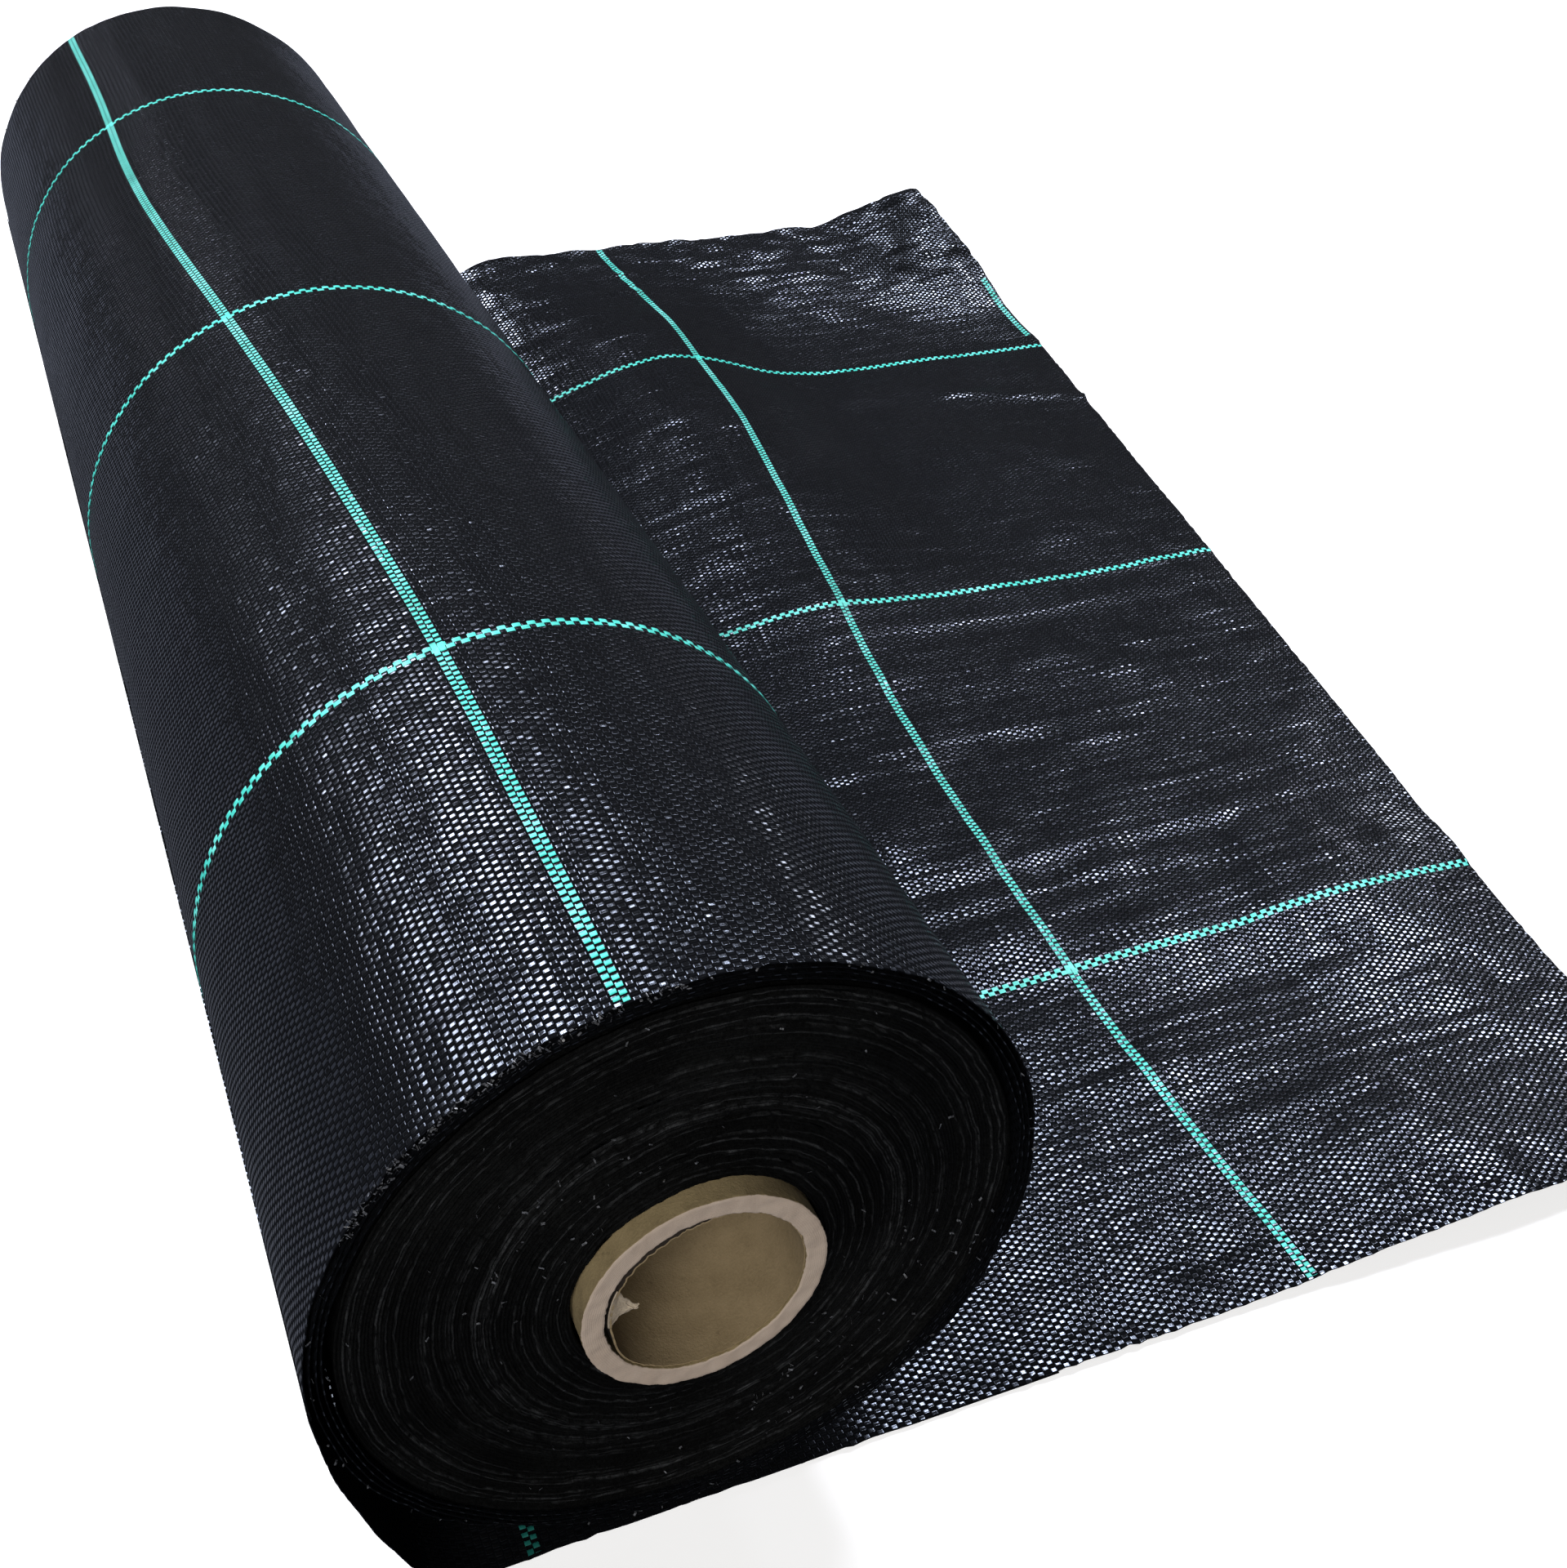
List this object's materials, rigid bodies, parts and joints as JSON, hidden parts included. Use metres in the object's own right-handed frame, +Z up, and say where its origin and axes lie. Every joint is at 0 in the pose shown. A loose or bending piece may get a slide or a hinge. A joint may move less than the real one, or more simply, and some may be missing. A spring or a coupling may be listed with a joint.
{
  "type": "weed control fabric roll",
  "caption": "Roll of black woven weed control fabric with green marker lines on a cardboard core, its free end laid out flat on the floor.",
  "frame": {"origin": "on the floor straight below the middle of the roll's length", "axes": "+Z up, +Y along the roll from its near end to its far end, +X the way the fabric is laid out"},
  "size_m": [0.586, 0.812, 0.1965],
  "materials": {
    "woven_fabric": "satin woven polypropylene tape",
    "marker_tape": "satin",
    "core_board": "matte",
    "core_liner": "matte"
  },
  "bodies": {
    "laid_out_sheet": {"laid_sheet": "woven_fabric", "sheet_warp_marker_near": "marker_tape", "sheet_warp_marker_middle": "marker_tape", "sheet_warp_marker_far": "marker_tape", "sheet_weft_marker_under_roll": "marker_tape", "sheet_weft_marker_middle": "marker_tape", "sheet_weft_marker_cut_end": "marker_tape"},
    "loose_wrap": {"loose_wrap": "woven_fabric", "loose_wrap_marker_near": "marker_tape", "loose_wrap_marker_middle": "marker_tape", "loose_wrap_marker_far": "marker_tape"},
    "roll": {"cardboard_core": "core_board", "core_inner_ply": "core_liner", "wound_pack": "woven_fabric", "outer_winding": "woven_fabric", "roll_warp_marker_near": "marker_tape", "roll_warp_marker_middle": "marker_tape", "roll_warp_marker_far": "marker_tape", "roll_weft_marker": "marker_tape"}
  },
  "joints": [
    {"name": "roll_travel", "type": "slide", "parent": "laid_out_sheet", "child": "loose_wrap", "axis": [-1, 0, 0], "range_m": [0, 0.15]},
    {"name": "roll_turn", "type": "hinge", "parent": "loose_wrap", "child": "roll", "pos_m": [0, 0, 0.09966], "axis": [0, -1, 0], "range_deg": [0, 89]}
  ],
  "couplings": [
    {"joint": "roll_turn", "follows": "roll_travel", "rad_per_m": 10.309}
  ]
}
